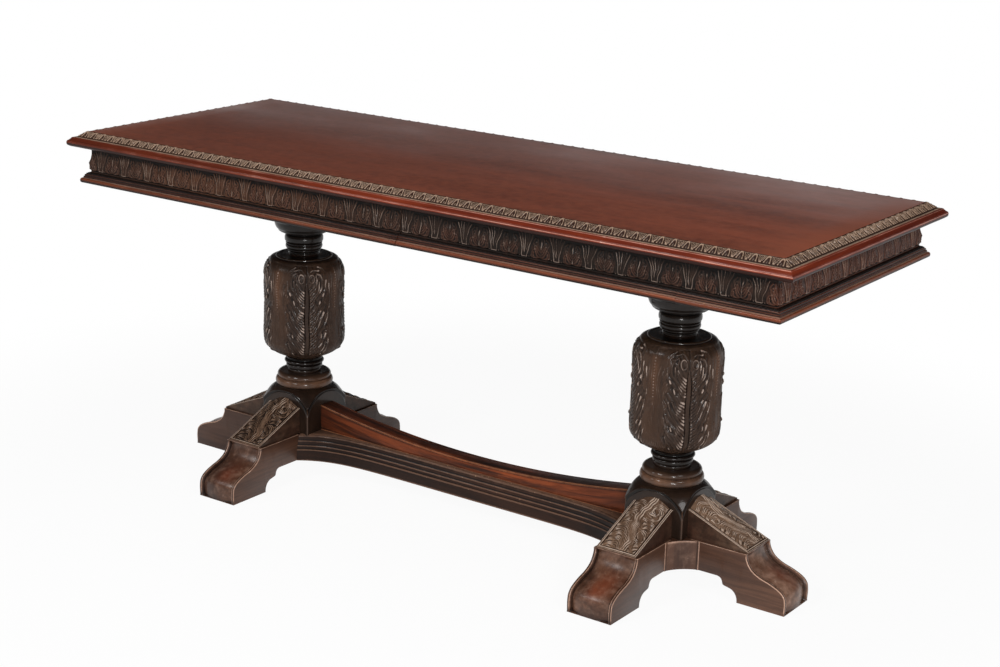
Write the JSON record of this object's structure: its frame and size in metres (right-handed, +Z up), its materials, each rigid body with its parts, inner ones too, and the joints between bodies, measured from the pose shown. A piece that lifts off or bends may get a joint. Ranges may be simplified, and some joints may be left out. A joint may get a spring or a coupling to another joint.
{
  "type": "library table",
  "caption": "Long library table with a carved edge, a carved frieze hiding a drawer, and turned drum pedestals on ogee feet joined by a low moulded stretcher.",
  "frame": {"origin": "on the floor under the middle of the top", "axes": "+X along the table towards the end nearer the drawer, +Y from the drawer front to the back, +Z up"},
  "size_m": [1.7416, 0.6496, 0.762],
  "materials": {
    "top_mahogany": "polished",
    "carved_band": "waxed, worn pale on the carving",
    "edge_mahogany": "polished",
    "carved_frieze": "dark wax over carving",
    "base_mahogany": "polished",
    "ebonised_turning": "ebonised, glossy",
    "carved_drum": "dark wax over carving",
    "foot_mahogany": "polished",
    "carved_bracket": "dark wax over carving",
    "stretcher_rail": "polished, streaked",
    "stretcher_board": "polished",
    "drawer_oak": "unfinished",
    "frame_pine": "unfinished"
  },
  "bodies": {
    "table": {"top_panel": "top_mahogany", "carved_band_front": "carved_band", "carved_band_back": "carved_band", "carved_band_left": "carved_band", "carved_band_right": "carved_band", "edge_moulding_front": "edge_mahogany", "edge_moulding_back": "edge_mahogany", "edge_moulding_left": "edge_mahogany", "edge_moulding_right": "edge_mahogany", "frieze_front_left": "carved_frieze", "frieze_front_right": "carved_frieze", "frieze_back": "carved_frieze", "frieze_left": "carved_frieze", "frieze_right": "carved_frieze", "base_moulding_front_left": "base_mahogany", "base_moulding_front_right": "base_mahogany", "base_moulding_back": "base_mahogany", "base_moulding_left": "base_mahogany", "base_moulding_right": "base_mahogany", "underframe_rail_front": "frame_pine", "underframe_rail_back": "frame_pine", "bearer_left": "frame_pine", "bearer_right": "frame_pine", "drawer_guide_left": "frame_pine", "drawer_guide_right": "frame_pine", "drawer_stop": "frame_pine", "column_neck_left": "ebonised_turning", "column_drum_left": "carved_drum", "column_collar_left": "ebonised_turning", "centre_block_left": "ebonised_turning", "foot_left_front": "foot_mahogany", "foot_left_back": "foot_mahogany", "foot_left_outer": "foot_mahogany", "bracket_left_front": "carved_bracket", "bracket_left_back": "carved_bracket", "bracket_left_outer": "carved_bracket", "infill_left_front": "foot_mahogany", "infill_left_back": "foot_mahogany", "column_neck_right": "ebonised_turning", "column_drum_right": "carved_drum", "column_collar_right": "ebonised_turning", "centre_block_right": "ebonised_turning", "foot_right_front": "foot_mahogany", "foot_right_back": "foot_mahogany", "foot_right_outer": "foot_mahogany", "bracket_right_front": "carved_bracket", "bracket_right_back": "carved_bracket", "bracket_right_outer": "carved_bracket", "infill_right_front": "foot_mahogany", "infill_right_back": "foot_mahogany", "stretcher_board": "stretcher_board", "stretcher_rail": "stretcher_rail"},
    "drawer": {"drawer_front": "carved_frieze", "drawer_moulding": "base_mahogany", "drawer_side_left": "drawer_oak", "drawer_side_right": "drawer_oak", "drawer_back": "drawer_oak", "drawer_bottom": "drawer_oak"}
  },
  "joints": [
    {"name": "drawer_slide", "type": "slide", "parent": "table", "child": "drawer", "axis": [0, -1, 0], "range_m": [0, 0.36]}
  ]
}
